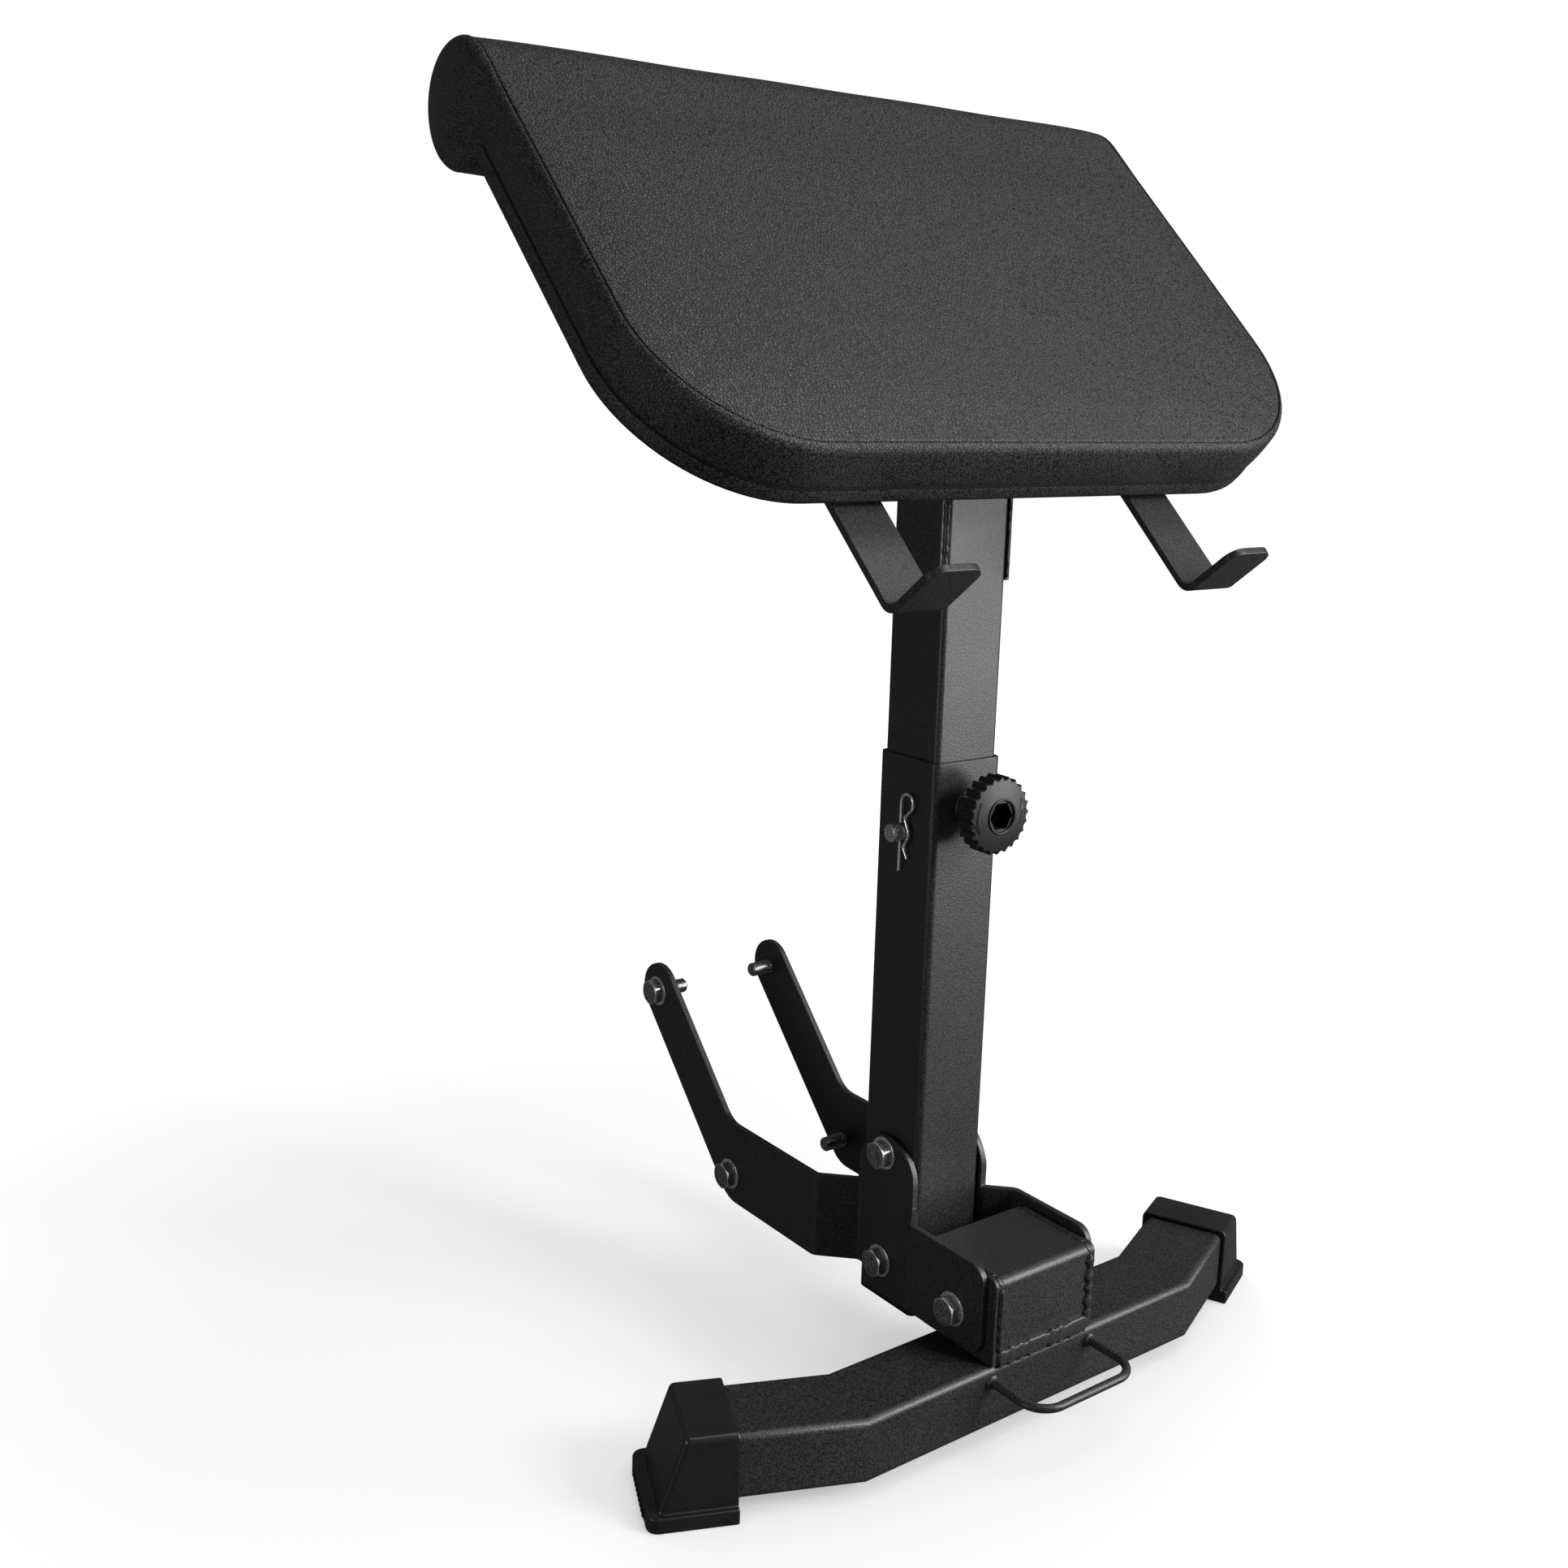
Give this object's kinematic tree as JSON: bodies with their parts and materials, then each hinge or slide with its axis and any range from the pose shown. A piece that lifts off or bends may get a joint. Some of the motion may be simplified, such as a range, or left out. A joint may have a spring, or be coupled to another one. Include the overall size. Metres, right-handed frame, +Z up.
{
  "type": "preacher curl stand",
  "caption": "Preacher curl stand with a sloping arm pad, bar hooks, a height-adjustable pinned post, a swept foot and bent arms that bolt to a bench.",
  "frame": {"origin": "on the floor under the middle of the stand's bounding box", "axes": "+X to the right seen from the lifter's front side, -Y towards the bar hooks, +Y towards the bench, +Z up along the post"},
  "size_m": [0.5672, 0.4695, 0.9008],
  "materials": {
    "black_powder_coat": "matte",
    "black_rubber": "matte",
    "black_plastic": "matte",
    "knob_plastic": "satin",
    "dark_zinc_steel": "satin",
    "zinc_steel": "satin",
    "wrapped_plywood": "satin",
    "vinyl_on_foam": "satin"
  },
  "bodies": {
    "base": {"foot_tube": "black_powder_coat", "left_foot_cap": "black_rubber", "right_foot_cap": "black_rubber", "foot_loop": "black_powder_coat", "left_side_plate": "black_powder_coat", "right_side_plate": "black_powder_coat", "base_cover": "black_powder_coat", "outer_post": "black_powder_coat", "outer_post_plug": "black_plastic", "left_arm_plate": "black_powder_coat", "right_arm_plate": "black_powder_coat", "post_bolts": "dark_zinc_steel", "post_nuts": "dark_zinc_steel", "base_bolt": "dark_zinc_steel", "base_nut": "dark_zinc_steel", "post_washers": "dark_zinc_steel", "base_washers": "dark_zinc_steel", "bench_bolts": "dark_zinc_steel", "bench_washers": "dark_zinc_steel", "weld_nut": "black_powder_coat"},
    "mast": {"inner_post": "black_powder_coat", "inner_post_plug": "black_plastic", "left_cheek_plate": "black_powder_coat", "right_cheek_plate": "black_powder_coat", "head_plate": "black_powder_coat", "rear_crossbar": "black_powder_coat", "left_bar_hook": "black_powder_coat", "right_bar_hook": "black_powder_coat", "pad_board": "wrapped_plywood", "pad_cushion": "vinyl_on_foam", "pad_bolts": "zinc_steel", "pad_washers": "zinc_steel", "tee_nuts": "zinc_steel"},
    "screw": {"clamp_screw": "zinc_steel"},
    "knob": {"knob": "knob_plastic"},
    "pin": {"lock_pin": "zinc_steel"},
    "clip": {"r_clip": "zinc_steel"}
  },
  "joints": [
    {"name": "mast_slide", "type": "slide", "parent": "base", "child": "mast", "axis": [0, 0, 1], "range_m": [0, 0.15]},
    {"name": "screw_feed", "type": "slide", "parent": "base", "child": "screw", "axis": [0, -1, 0], "range_m": [0, 0.00525]},
    {"name": "knob_turn", "type": "hinge", "parent": "screw", "child": "knob", "pos_m": [0, -0.10275, 0.417], "axis": [0, -1, 0], "range_deg": [0, 1081]},
    {"name": "lock_pin_slide", "type": "slide", "parent": "base", "child": "pin", "axis": [1, 0, 0], "range_m": [0, 0.002]},
    {"name": "clip_pull", "type": "slide", "parent": "pin", "child": "clip", "axis": [0, 0, 1], "range_m": [0, 0.06], "deforming": ["r_clip"]}
  ],
  "couplings": [
    {"joint": "knob_turn", "follows": "screw_feed", "rad_per_m": 3590.4}
  ]
}
